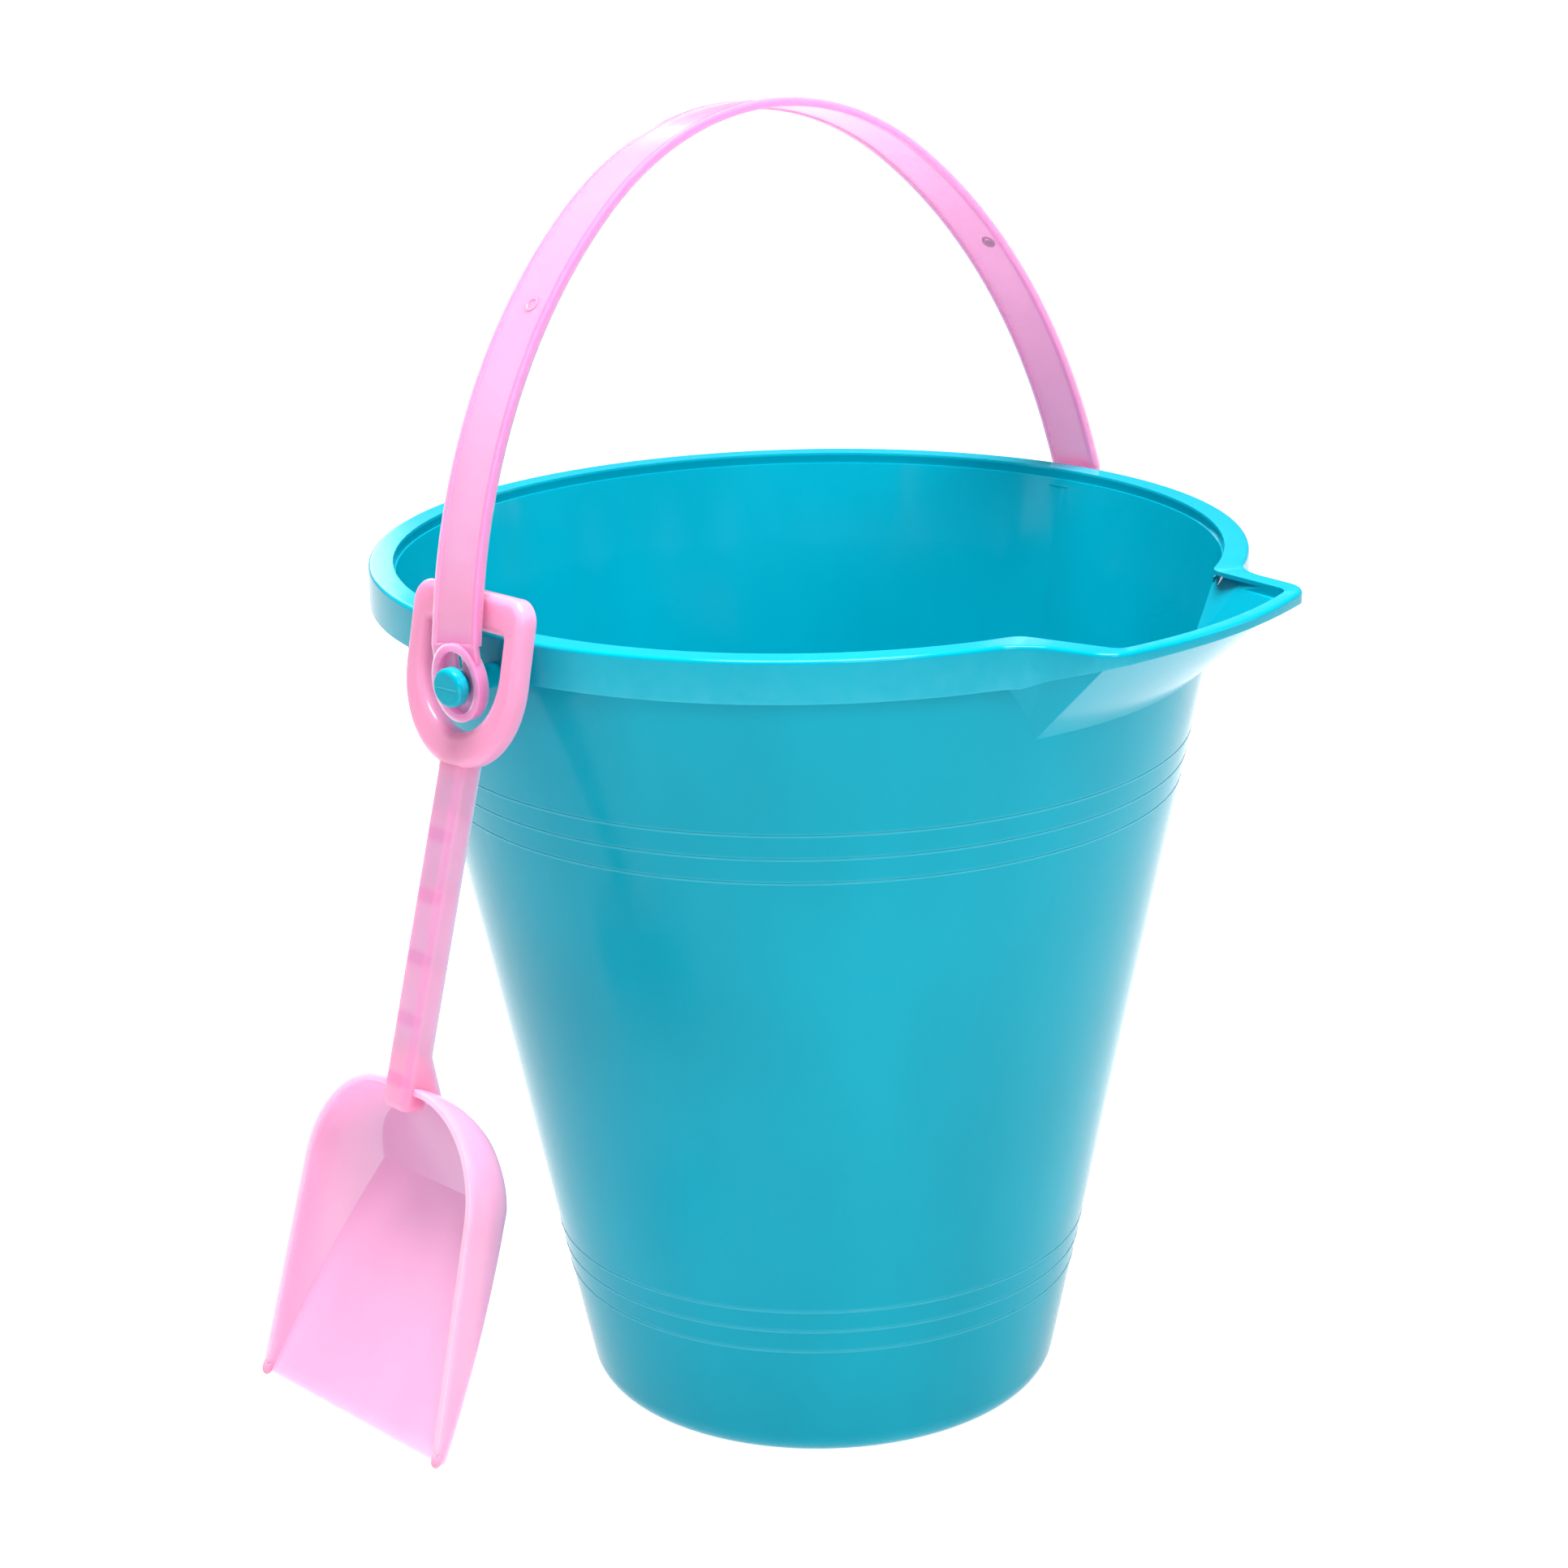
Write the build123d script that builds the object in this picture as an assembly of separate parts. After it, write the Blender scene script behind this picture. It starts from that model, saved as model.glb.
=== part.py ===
from build123d import *
from math import cos, radians, sin, tan
import os

# A toy sand bucket: one turquoise bucket moulding, and a pink bail handle and a pink shovel
# that both hang on the bucket's pegs.  Millimetres, +Z up.  The origin is the centre of the
# base, on the ground.  The pegs lie along X, and the pouring spout points towards -Y.

# ---------------------------------------------------------------- driving dimensions
# bucket wall
HEIGHT = 203.6            # ground to the top of the rim
WALL_R0 = 54.6            # outer wall radius, run on down to the ground
WALL_SLOPE = 0.2034       # outer radius gained per millimetre of height
WALL = 1.6                # wall thickness, measured level
BASE_CORNER = 7.5         # outer radius between wall and base
BASE_THICK = 1.8
FOOT_R = 40.0             # inside of the narrow ring that the base stands on
FOOT_RISE = 0.8
RING_HEIGHTS = (29.9, 35.4, 40.8, 150.7, 156.4, 162.0)
RING_BEAD = 0.32          # radius of the fine raised lines, sunk half into the wall
RING_PROUD = 0.13

# rim: a flat flange and a skirt turned down from it
RIM_R = 100.0
RIM_INNER_R = 94.3
RIM_THICK = 1.9
SKIRT_BOTTOM = 194.3
SKIRT_THICK = 1.4
RIM_ROUND = 0.9

# spout, described by distance out from the axis and half width across
SPOUT_R = 118.0           # front edge of the lip
LIP_BAND = 3.3            # width of the lip at the front
LIP_BOTTOM = 201.3
SPOUT_ROOT_Z = 179.2      # where the chute leaves the wall
ROOT_OUT = ((27.4, 86.8), (28.4, 84.0), (30.0, 79.0))    # outside of the chute at its root
LIP_OUT = ((32.0, 111.0), (36.2, 98.8), (42.0, 89.0))    # outside of the chute at the lip
CHUTE_WALL = 1.6
SIDE_OUT = (98.7, 37.5)   # the lip passes here: distance out, half width
SIDE_IN = (92.0, 33.5)    # and its inner edge passes here
SIDE_TAPER = 0.19         # half width lost per millimetre outwards
LIP_CORNER_OUT = 8.0
LIP_CORNER_IN = 4.0
ROOT_BLEND_OUT = 14.0
ROOT_BLEND_IN = 5.0

# pegs
PEG_Z = 195.0
NECK_R = 2.6
HEAD_R = 4.2
HEAD_THICK = 2.6
PEG_REACH = 114.2         # outer face of a peg's head, from the axis
ROOT_BLOCK = 6.0

# handle: an arch of a small arc, a larger arc and a straight leg on each side
HANDLE_SHIFT = -3.7       # the shovel's grip pushes the whole handle towards -X
HANDLE_LEAN = 7.1         # degrees, towards +Y
ARCH_TOP = 107.9          # middle of the strap, above the pegs
ARCH_R1 = 90.5
ARCH_ANGLE1 = 35.1
ARCH_R2 = 131.7
ARCH_ANGLE2 = 76.2
LEG_END = 8.2             # height above the pegs where a leg meets its ring
STRAP_WIDTH = 13.0
STRAP_THICK = 1.5
BEAD_WIDTH = 1.2
BEAD_THICK = 2.1
RING_HALF_WIDTH = 7.1
RING_HALF_HEIGHT = 8.4
RING_RISE = 0.6           # ring centre above the peg axis
RING_THICK = 2.8
RING_RIM = 1.7
WEB_THICK = 1.1
NECK_BACK = 0.75          # the strap lies this far behind the ring's front face
RING_REACH = 106.2        # middle of the ring, from the handle's own centre
EYE_R = 2.66
SLIT = 2.0

# shovel, in its own frame: X across, Z up along the stem, +Y towards the bucket
GRIP_TOP = 19.2           # heights are from the peg's axis
GRIP_BOTTOM = -18.6
GRIP_HALF_WIDTH = 19.6
GRIP_FRONT = -2.3
GRIP_BACK = 2.1
GRIP_CORNER = 5.0
GRIP_ROUND = 1.8
GRIP_BACK_ROUND = 0.6
OPEN_HALF_WIDTH = 13.5
OPEN_TOP = 11.0
OPEN_BOTTOM = -10.9
BEND = 3.4                # degrees, stem and blade tilt out from the grip
BEND_AT = -17.0
STEM_HALF_WIDTH = 4.3
STEM_FRONT = -1.8
STEM_BACK = 3.6
STEM_TOP = -15.0
STEM_END = -92.6
STEM_NOSE = 1.7           # rounding of the stem's lower end, inside the scoop
STEM_ROUND = 1.8
CHANNEL_WALL = 1.4
CHANNEL_TOP = -20.0
CHANNEL_END = -86.0
STEM_RIBS = 4
RIB = 1.2
LIP_Y = 0.1               # the plane of the scoop's lips
TIP_Z = -160.2
SHOULDER_R = 23.8         # the scoop's top corners
SHOULDER_X = 6.7
SHOULDER_Z = -110.8
SIDE_TILT = 3.0           # degrees, the scoop widens towards its tip
TIP_DEPTH = 2.8           # back of the floor at the tip
HEEL_DEPTH = 16.4         # back of the floor at its deepest
HEEL_Z = -109.0
HEEL_RISE = 0.29          # slope of the floor from the heel up to the neck
HEEL_ROUND = 25.0
BOWL_CURVE = 0.032        # how far the walls close in, per square of the depth
BOWL_STEPS = (0.0, 5.0, 10.0, 15.0, 20.0)
GUSSET_TOP = -80.0        # the stem deepens here to meet the scoop
GUSSET_DEPTH = 10.0
GUSSET_SLOPE = 26.0
SHOVEL_WALL = 1.5
SHOVEL_AT = (-105.4, 3.2, 194.5)
SHOVEL_LEAN = 13.0        # degrees, blade outwards
SHOVEL_TWIST = -8.4       # degrees, about its own stem


def wall_radius(z):
    return WALL_R0 + WALL_SLOPE * z


# ---------------------------------------------------------------- bucket
def wall_solid(inset, floor_z, corner, top_z):
    """A solid tapered cup: its wall lies inset inside the bucket's outer wall."""
    with BuildSketch(Plane.XZ) as section:
        with BuildLine():
            Polyline(
                (0, floor_z),
                (wall_radius(floor_z) - inset, floor_z),
                (wall_radius(top_z) - inset, top_z),
                (0, top_z),
                (0, floor_z),
            )
        make_face()
        foot = section.vertices().sort_by(Axis.Y)[:2].sort_by(Axis.X)[-1]
        fillet(foot, corner)
    return revolve(section.sketch, Axis.Z)


def side_blend(rim_r, front_r, side, blend, corner):
    """Tangent points of the two arcs on one side of the spout: root blend, then lip corner."""
    tilt = (1 + SIDE_TAPER * SIDE_TAPER) ** 0.5
    along = Vector(-SIDE_TAPER, 1) / tilt
    outward = Vector(1, SIDE_TAPER) / tilt
    start = Vector(side[1], side[0])

    def arc(base_r, radius, sense):
        line = start + outward * (sense * radius)
        centre_r = base_r + sense * radius
        foot = line - along * line.dot(along)
        centre = foot + along * (centre_r * centre_r - foot.dot(foot)) ** 0.5
        on_line = centre - outward * (sense * radius)
        on_circle = centre * (base_r / centre_r)
        middle = centre + ((on_line - centre) + (on_circle - centre)).normalized() * radius
        return on_circle, middle, on_line

    return arc(rim_r, blend, 1), arc(front_r, corner, -1)


def spout_plan(rim_r, front_r, side, blend, corner):
    """Seen from above: the round rim with the spout's outline added to it."""
    root, lip = side_blend(rim_r, front_r, side, blend, corner)

    def at(point, hand):
        return (hand * point.X, -point.Y)

    with BuildSketch() as plan:
        with BuildLine():
            ThreePointArc(at(root[0], 1), (0, rim_r), at(root[0], -1))
            for hand in (1, -1):
                ThreePointArc(at(root[0], hand), at(root[1], hand), at(root[2], hand))
                Line(at(root[2], hand), at(lip[2], hand))
                ThreePointArc(at(lip[2], hand), at(lip[1], hand), at(lip[0], hand))
            ThreePointArc(at(lip[0], 1), (0, -front_r), at(lip[0], -1))
        make_face()
    return plan.sketch


def chute(root, root_z, top, top_z):
    """The slanting trough under the lip, from a narrow root on the wall to the lip's outline.

    root and top hold the points of one side, as (half width, distance out): the front
    corner, the bend of the side, and the back corner, which lies inside the bucket.
    """
    def outline(side, z):
        front, bend, back = side
        reach = (front[0] ** 2 + front[1] ** 2) ** 0.5
        with BuildSketch(Plane.XY.offset(z)) as face:
            with BuildLine():
                ThreePointArc((-front[0], -front[1]), (0, -reach), (front[0], -front[1]))
                Polyline(
                    (front[0], -front[1]),
                    (bend[0], -bend[1]),
                    (back[0], -back[1]),
                    (-back[0], -back[1]),
                    (-bend[0], -bend[1]),
                    (-front[0], -front[1]),
                )
            make_face()
        return face.sketch

    return loft([outline(root, root_z), outline(top, top_z)], ruled=True)


def peg(side):
    """A round neck with a mushroom head, and the block that joins it to the wall."""
    out = Plane(origin=(0, 0, PEG_Z), x_dir=(0, 1, 0), z_dir=(side, 0, 0))
    neck_start = wall_radius(PEG_Z) - WALL / 2
    neck_length = PEG_REACH - HEAD_THICK / 2 - neck_start
    neck = out.offset(neck_start) * Cylinder(NECK_R, neck_length, align=(Align.CENTER, Align.CENTER, Align.MIN))
    head = Cylinder(HEAD_R, HEAD_THICK, align=(Align.CENTER, Align.CENTER, Align.MIN))
    face_edge = head.edges().filter_by(GeomType.CIRCLE).sort_by(Axis.Z)[-1]
    head = fillet(face_edge, 1.1)
    head = out.offset(PEG_REACH - HEAD_THICK) * head
    block_length = RIM_R - SKIRT_THICK / 2 - neck_start
    block = out.offset(neck_start) * Box(
        ROOT_BLOCK, ROOT_BLOCK, block_length, align=(Align.CENTER, Align.CENTER, Align.MIN)
    )
    return neck + head + Pos(0, 0, 1.5) * block


def make_bucket():
    plan = spout_plan(RIM_R, SPOUT_R, SIDE_OUT, ROOT_BLEND_OUT, LIP_CORNER_OUT)
    plan_inner = spout_plan(
        RIM_INNER_R, SPOUT_R - LIP_BAND, SIDE_IN, ROOT_BLEND_IN, LIP_CORNER_IN
    )

    # flange and skirt, cut back under the spout so that the lip stays thin
    collar = Pos(0, 0, SKIRT_BOTTOM) * extrude(plan, HEIGHT - SKIRT_BOTTOM)
    top_edge = collar.edges().group_by(Axis.Z)[-1]
    collar = fillet(top_edge, RIM_ROUND)
    skirt_room = offset(plan, -SKIRT_THICK)
    collar -= Pos(0, 0, SKIRT_BOTTOM - 1) * extrude(skirt_room, HEIGHT - RIM_THICK - SKIRT_BOTTOM + 1)
    with BuildSketch(Plane.YZ) as rise:
        with BuildLine():
            Spline(
                (-90.0, SKIRT_BOTTOM - 0.6),
                (-98.0, 196.2),
                (-106.0, 198.6),
                (-113.0, 200.7),
                (-121.0, LIP_BOTTOM),
                tangents=((-1.0, 0.1), (-1.0, 0.0)),
            )
            Polyline((-121.0, LIP_BOTTOM), (-121.0, 185.0), (-90.0, 185.0), (-90.0, SKIRT_BOTTOM - 0.6))
        make_face()
    collar -= extrude(rise.sketch, 60, both=True)

    root_in = [(half - CHUTE_WALL, out - CHUTE_WALL) for half, out in ROOT_OUT]
    lip_in = [(half - CHUTE_WALL - 1.0, out - CHUTE_WALL - 0.6) for half, out in LIP_OUT]
    shell = wall_solid(0, 0, BASE_CORNER, HEIGHT - 0.4)
    shell += chute(ROOT_OUT, SPOUT_ROOT_Z, LIP_OUT, HEIGHT - RIM_THICK + 0.3)
    shell += collar

    hollow = wall_solid(WALL, BASE_THICK, BASE_CORNER - WALL, HEIGHT + 4)
    shell -= hollow
    shell -= chute(root_in, SPOUT_ROOT_Z + 1.2, lip_in, HEIGHT - 1.0)
    shell -= Pos(0, 0, HEIGHT - RIM_THICK - 0.6) * extrude(plan_inner, 10)
    shell -= Cylinder(FOOT_R, FOOT_RISE, align=(Align.CENTER, Align.CENTER, Align.MIN))

    for z in RING_HEIGHTS:
        shell += Pos(0, 0, z) * Torus(wall_radius(z) + RING_PROUD - RING_BEAD, RING_BEAD)
    for side in (-1, 1):
        shell += peg(side)
    return shell


# ---------------------------------------------------------------- handle
def arch_points(grow):
    """Ends and middles of the half arch's arcs, moved out by grow from the middle line."""
    a1 = radians(ARCH_ANGLE1)
    a2 = radians(ARCH_ANGLE2)
    r1 = ARCH_R1 + grow
    r2 = ARCH_R2 + grow
    centre1 = (0.0, ARCH_TOP - ARCH_R1)
    centre2 = (
        centre1[0] - (ARCH_R2 - ARCH_R1) * sin(a1),
        centre1[1] - (ARCH_R2 - ARCH_R1) * cos(a1),
    )

    def on(centre, r, a):
        return (centre[0] + r * sin(a), centre[1] + r * cos(a))

    top = on(centre1, r1, 0.0)
    mid1 = on(centre1, r1, a1 / 2)
    join = on(centre1, r1, a1)
    mid2 = on(centre2, r2, (a1 + a2) / 2)
    leg_top = on(centre2, r2, a2)
    drop = leg_top[1] - LEG_END
    leg_end = (leg_top[0] + drop / tan(a2), LEG_END)
    return top, mid1, join, mid2, leg_top, leg_end


def half_arch(thick):
    """One side of the arch as a flat band in the XZ plane."""
    outer = arch_points(thick / 2)
    inner = arch_points(-thick / 2)
    with BuildSketch(Plane.XZ) as band:
        with BuildLine():
            ThreePointArc(outer[0], outer[1], outer[2])
            ThreePointArc(outer[2], outer[3], outer[4])
            Line(outer[4], outer[5])
            Line(outer[5], inner[5])
            Line(inner[5], inner[4])
            ThreePointArc(inner[4], inner[3], inner[2])
            ThreePointArc(inner[2], inner[1], inner[0])
            Line(inner[0], outer[0])
        make_face()
    return band.sketch


def eyelet(side):
    """An oval ring with a thin web, a round eye and a slit that lets it snap over the peg."""
    face = Plane(origin=(side * (RING_REACH + RING_THICK / 2), 0, 0), x_dir=(0, side, 0), z_dir=(side, 0, 0))
    oval = Pos(0, RING_RISE) * Ellipse(RING_HALF_WIDTH, RING_HALF_HEIGHT)
    recess = Pos(0, RING_RISE) * Ellipse(RING_HALF_WIDTH - RING_RIM, RING_HALF_HEIGHT - RING_RIM)
    eye = Circle(EYE_R) + Pos(0, RING_HALF_HEIGHT / 2) * Rectangle(SLIT, RING_HALF_HEIGHT - RING_RIM)
    eye = eye & recess
    ring = extrude(oval, -RING_THICK)
    ring -= extrude(recess, -(RING_THICK - WEB_THICK))
    ring -= extrude(eye, -RING_THICK)
    neck = Pos(0, LEG_END - 1.4) * Rectangle(STRAP_WIDTH, 4.0)
    neck = extrude(neck, -(RING_THICK - NECK_BACK)) - extrude(neck, -NECK_BACK)
    neck -= extrude(recess, -RING_THICK)
    return face * (ring + neck)


def make_handle():
    width = STRAP_WIDTH / 2
    bow = extrude(half_arch(STRAP_THICK), width, both=True)
    bead = extrude(half_arch(BEAD_THICK), BEAD_WIDTH / 2, both=True)
    for edge in (-1, 1):
        bow += Pos(0, edge * (width - BEAD_WIDTH / 2), 0) * bead
    bow += mirror(bow, Plane.YZ)
    for side in (-1, 1):
        bow += eyelet(side)
    return Pos(HANDLE_SHIFT, 0, PEG_Z) * Rot(-HANDLE_LEAN, 0, 0) * bow


# ---------------------------------------------------------------- shovel
def grip_outline(half, top, bottom, corner):
    """A D standing up: straight sides, rounded top corners and a round bottom."""
    with BuildSketch(Plane.XZ) as outline:
        with BuildLine():
            shoulder = bottom + half
            Polyline((-half, shoulder), (-half, top), (half, top), (half, shoulder))
            ThreePointArc((half, shoulder), (0, bottom), (-half, shoulder))
        make_face()
        fillet(outline.vertices().group_by(Axis.Y)[-1], corner)
    return outline.sketch


def make_grip():
    depth = GRIP_BACK - GRIP_FRONT
    outline = grip_outline(GRIP_HALF_WIDTH, GRIP_TOP, GRIP_BOTTOM, GRIP_CORNER)
    body = Pos(0, GRIP_BACK, 0) * extrude(outline, depth)
    opening = grip_outline(OPEN_HALF_WIDTH, OPEN_TOP, OPEN_BOTTOM, 0.8)
    body -= extrude(opening, 2 * depth, both=True)
    body = fillet(body.edges().group_by(Axis.Y)[0], GRIP_ROUND)
    return fillet(body.edges().group_by(Axis.Y)[-1], GRIP_BACK_ROUND)


def make_stem():
    """A channel that opens to the back, with cross ribs inside."""
    align = (Align.CENTER, Align.MIN, Align.MAX)
    depth = STEM_BACK - STEM_FRONT
    bar = Pos(0, STEM_FRONT, STEM_TOP) * Box(2 * STEM_HALF_WIDTH, depth, STEM_TOP - STEM_END, align=align)
    bar = fillet(bar.edges().filter_by(Axis.Z).group_by(Axis.Y)[0], STEM_ROUND)
    bar = fillet(bar.faces().sort_by(Axis.Z)[0].edges(), STEM_NOSE)
    inside = 2 * (STEM_HALF_WIDTH - CHANNEL_WALL)
    length = CHANNEL_TOP - CHANNEL_END
    channel = Box(inside, depth, length, align=align)
    bar -= Pos(0, STEM_FRONT + CHANNEL_WALL, CHANNEL_TOP) * channel
    pitch = length / STEM_RIBS
    rib = Box(inside + 0.4, depth - CHANNEL_WALL, RIB, align=align)
    for n in range(STEM_RIBS):
        bar += Pos(0, STEM_FRONT + CHANNEL_WALL, CHANNEL_TOP - pitch * (n + 0.5)) * rib
    return bar


def scoop_outline(inset, y):
    """The scoop seen from the front, drawn in by inset, on the plane at depth y."""
    tilt = radians(SIDE_TILT)
    round_r = SHOULDER_R - inset
    top = SHOULDER_Z + round_r
    turn = (SHOULDER_X + round_r * cos(tilt), SHOULDER_Z + round_r * sin(tilt))
    half_turn = radians((90 + SIDE_TILT) / 2)
    middle = (SHOULDER_X + round_r * cos(half_turn), SHOULDER_Z + round_r * sin(half_turn))
    foot_z = TIP_Z - 10
    foot = (turn[0] + (turn[1] - foot_z) * tan(tilt), foot_z)

    def at(point, hand):
        return (hand * point[0], y, point[1])

    with BuildLine() as outline:
        Line(at(foot, 1), at(turn, 1))
        ThreePointArc(at(turn, 1), at(middle, 1), (SHOULDER_X, y, top))
        Line((SHOULDER_X, y, top), (-SHOULDER_X, y, top))
        ThreePointArc((-SHOULDER_X, y, top), at(middle, -1), at(turn, -1))
        Line(at(turn, -1), at(foot, -1))
        Line(at(foot, -1), at(foot, 1))
    return Face(outline.wire())


def behind_floor(wall):
    """Everything behind the scoop's floor: the floor runs back from the tip to a round heel."""
    slope = (HEEL_DEPTH - TIP_DEPTH) / (HEEL_Z - TIP_Z)
    low = TIP_Z - 30
    high = HEEL_Z + 40
    with BuildSketch(Plane.YZ) as region:
        with BuildLine():
            heel = (HEEL_DEPTH - wall, HEEL_Z)
            foot = (TIP_DEPTH - wall - slope * 30, low)
            head = (HEEL_DEPTH - wall - HEEL_RISE * 40, high)
            Polyline(heel, foot, (80, low), (80, high), head, heel)
        make_face()
        corner = region.vertices().sort_by_distance((0, heel[0], heel[1]))[0]
        fillet(corner, HEEL_ROUND)
    return extrude(region.sketch, 60, both=True)


def bowl(wall, front_y):
    """The scoop as a solid: outlines that close in with depth, cut by floor and tip."""
    sections = [scoop_outline(wall + BOWL_CURVE * d * d, LIP_Y + d) for d in BOWL_STEPS]
    solid = loft(sections)
    if front_y < LIP_Y:
        solid += extrude(sections[0], LIP_Y - front_y, dir=(0, -1, 0))
    solid -= behind_floor(wall)
    beyond = Box(100, 100, 60, align=(Align.CENTER, Align.CENTER, Align.MAX))
    return solid - Pos(0, 0, TIP_Z - 4 * wall) * beyond


def make_blade():
    align = (Align.CENTER, Align.MIN, Align.MAX)
    depth = GUSSET_DEPTH - STEM_FRONT
    neck = Pos(0, STEM_FRONT, GUSSET_TOP) * Box(2 * STEM_HALF_WIDTH, depth, 16, align=align)
    neck = fillet(neck.edges().filter_by(Axis.Z).group_by(Axis.Y)[0], STEM_ROUND)
    slope = Pos(0, STEM_BACK, GUSSET_TOP) * Rot(GUSSET_SLOPE, 0, 0)
    neck -= slope * Box(30, 20, 60, align=(Align.CENTER, Align.MIN, Align.CENTER))
    return bowl(0, LIP_Y) + neck - bowl(SHOVEL_WALL, STEM_FRONT - 2)


def make_shovel():
    lower = make_stem() + make_blade()
    hinge = Pos(0, 0, BEND_AT)
    return make_grip() + hinge * Rot(-BEND, 0, 0) * hinge.inverse() * lower


# ---------------------------------------------------------------- write the parts
def main():
    shovel_place = Pos(*SHOVEL_AT) * Rot(0, SHOVEL_LEAN, SHOVEL_TWIST) * Rot(0, 0, -90)
    parts = {
        "bucket": make_bucket(),
        "handle": make_handle(),
        "shovel": shovel_place * make_shovel(),
    }
    os.makedirs("parts", exist_ok=True)
    for name, part in parts.items():
        export_step(part, f"parts/{name}.step")
        print(name, len(part.solids()), "solids", round(part.volume), "mm3")


main()
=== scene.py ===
# %% [markdown]
# # A toy sand bucket with a bail handle and a shovel
# The real toy is three mouldings: a turquoise bucket, and a pink handle and a pink shovel that
# both hang on the bucket's pegs. This lesson dresses the measured model for a studio view. It sets
# the camera, the light and the floor, then mixes the two plastics, then models the pieces
# that a close look deserves.
# The measured model is loaded first, because every place and size is read from it.

# %% Load the measured model
import bpy
from math import atan, degrees, radians
from mathutils import Matrix, Vector


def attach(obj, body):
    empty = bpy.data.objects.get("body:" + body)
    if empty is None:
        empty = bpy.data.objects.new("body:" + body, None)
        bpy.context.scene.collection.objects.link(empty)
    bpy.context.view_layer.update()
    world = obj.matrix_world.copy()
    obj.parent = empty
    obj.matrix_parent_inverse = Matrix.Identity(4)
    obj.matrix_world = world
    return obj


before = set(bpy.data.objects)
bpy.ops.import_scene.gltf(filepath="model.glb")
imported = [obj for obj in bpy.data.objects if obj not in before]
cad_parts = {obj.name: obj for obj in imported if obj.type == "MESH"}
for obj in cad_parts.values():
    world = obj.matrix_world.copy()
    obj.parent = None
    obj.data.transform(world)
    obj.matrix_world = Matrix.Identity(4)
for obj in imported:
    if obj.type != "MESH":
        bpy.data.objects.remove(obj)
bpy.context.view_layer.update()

# %% [markdown]
# ## The camera
# A camera could be aimed by a Track To constraint, but a still camera needs no helper. Its
# place, the point it looks at and its small roll give three directions, which are the
# columns of its rotation. An 85 mm lens on a 36 mm sensor keeps the bucket's sides straight.

# %% Camera
CAMERA_PLACE = Vector((-0.61697, -0.54585, 0.40624))
CAMERA_FORWARD = Vector((0.70898, 0.63762, -0.30131)).normalized()
CAMERA_UP = Vector((0.23879, 0.18502, 0.95329))
LENS_MM = 85.155
SENSOR_MM = 36.0

camera_data = bpy.data.cameras.new("studio_camera")
camera_data.lens = LENS_MM
camera_data.sensor_width = SENSOR_MM
camera = bpy.data.objects.new("studio_camera", camera_data)
bpy.context.scene.collection.objects.link(camera)
across = CAMERA_FORWARD.cross(CAMERA_UP).normalized()
upward = across.cross(CAMERA_FORWARD)
turn = Matrix((across, upward, -CAMERA_FORWARD)).transposed().to_4x4()
camera.matrix_world = Matrix.Translation(CAMERA_PLACE) @ turn
bpy.context.scene.camera = camera
print("camera looks", round(degrees(atan(-CAMERA_FORWARD.z / CAMERA_FORWARD.xy.length)), 1), "degrees down")

# %% [markdown]
# ## The studio
# Glossy toys are lit by big soft boxes: a broad one above, a tall one on each
# side. Wide lights give the broad pale sheen and the soft edges of the shadows. The room
# itself glows evenly, so no side of the toy falls black. The camera sees the room as white, while
# it lights the toy only faintly. The floor is a plain pale sheet that glows a little.

# %% Floor, room and lights
def soft_box(name, place, target, width, height, power):
    """A rectangular area light at place, facing target."""
    data = bpy.data.lights.new(name, "AREA")
    data.shape = "RECTANGLE"
    data.size = width
    data.size_y = height
    data.energy = power
    lamp = bpy.data.objects.new(name, data)
    bpy.context.scene.collection.objects.link(lamp)
    lamp.location = place
    lamp.rotation_euler = (Vector(target) - Vector(place)).to_track_quat("-Z", "Y").to_euler()
    return lamp


def clear_selection():
    """Nothing selected, nothing active: the loaded nodes would otherwise be edited too."""
    for thing in bpy.context.selected_objects:
        thing.select_set(False)
    bpy.context.view_layer.objects.active = None


FLOOR_SIZE = 60.0
FLOOR_GREY = 0.3
FLOOR_GLOW = 0.97
ROOM_LIGHT = 0.17          # what the toy receives from the room
ROOM_SEEN = 1.0            # what the camera sees of the room
WHITE = (1, 1, 1, 1)
clear_selection()
bpy.ops.mesh.primitive_plane_add(size=FLOOR_SIZE, location=(0, 0, 0))
floor = bpy.context.object
floor.name = "floor"
floor_finish = bpy.data.materials.new("floor_paper")
floor_finish.use_nodes = True
floor_shader = floor_finish.node_tree.nodes["Principled BSDF"]
floor_shader.inputs["Base Color"].default_value = (FLOOR_GREY, FLOOR_GREY, FLOOR_GREY, 1)
floor_shader.inputs["Roughness"].default_value = 0.9
floor_shader.inputs["Specular IOR Level"].default_value = 0.1
floor_shader.inputs["Emission Color"].default_value = WHITE
floor_shader.inputs["Emission Strength"].default_value = FLOOR_GLOW
floor.data.materials.append(floor_finish)

room = bpy.data.worlds.new("white_room")
bpy.context.scene.world = room
room.use_nodes = True
room.node_tree.nodes["Background"].inputs["Color"].default_value = WHITE
glow = room.node_tree.nodes["Background"].inputs["Strength"]
seen = room.node_tree.nodes.new("ShaderNodeLightPath").outputs["Is Camera Ray"]
brightness = room.node_tree.nodes.new("ShaderNodeMapRange")
brightness.inputs["To Min"].default_value = ROOM_LIGHT
brightness.inputs["To Max"].default_value = ROOM_SEEN
room.node_tree.links.new(seen, brightness.inputs["Value"])
room.node_tree.links.new(brightness.outputs["Result"], glow)

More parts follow.
